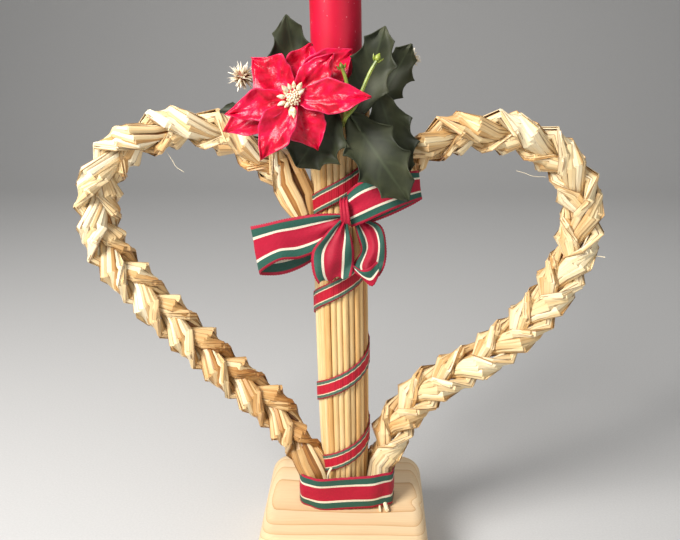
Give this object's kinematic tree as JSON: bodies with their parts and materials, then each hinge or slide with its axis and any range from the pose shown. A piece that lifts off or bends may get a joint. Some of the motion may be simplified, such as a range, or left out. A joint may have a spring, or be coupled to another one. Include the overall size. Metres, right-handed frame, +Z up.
{
  "type": "straw heart candle holder",
  "caption": "Candle holder: a straw bundle on a pine block with plaited straw sides forming a heart, bound with ribbon, with a candle, poinsettia and holly leaves at its top.",
  "frame": {"origin": "middle of the pine block's underside", "axes": "+Z up along the straw bundle, -Y towards the front where the flower and the bow are, +X to the right as seen from the front"},
  "size_m": [0.2396, 0.084, 0.3813],
  "materials": {
    "pine": "bare planed pine",
    "straw": "natural satin straw",
    "narrow_ribbon": "ribbed, striped red, cream and green",
    "wide_ribbon": "satin weave, striped red, cream and green",
    "candle_wax": "satin wax",
    "wick_cotton": "waxed cotton braid",
    "petal_silk": "pressed artificial silk",
    "flower_pods": "matt, grained",
    "leaf_silk": "pressed artificial silk",
    "dried_flower": "dry, matt",
    "bud_plastic": "moulded"
  },
  "bodies": {
    "root": {"pine_block": "pine", "straw_bundle": "straw", "plait_left": "straw", "plait_right": "straw", "narrow_ribbon_spiral": "narrow_ribbon", "foot_ribbon": "wide_ribbon", "ribbon_bow": "wide_ribbon", "candle": "candle_wax", "candle_wick": "wick_cotton", "poinsettia_back_petals": "petal_silk", "poinsettia_front_petals": "petal_silk", "poinsettia_middle": "flower_pods", "holly_leaf_rear_left": "leaf_silk", "holly_leaf_right": "leaf_silk", "holly_leaf_rear_right": "leaf_silk", "holly_leaf_lower_right": "leaf_silk", "holly_leaf_front": "leaf_silk", "holly_leaf_under_flower": "leaf_silk", "holly_leaf_far_left": "leaf_silk", "dried_flower_left": "dried_flower", "dried_flower_right": "dried_flower", "green_bud_sprig": "bud_plastic"}
  },
  "joints": []
}
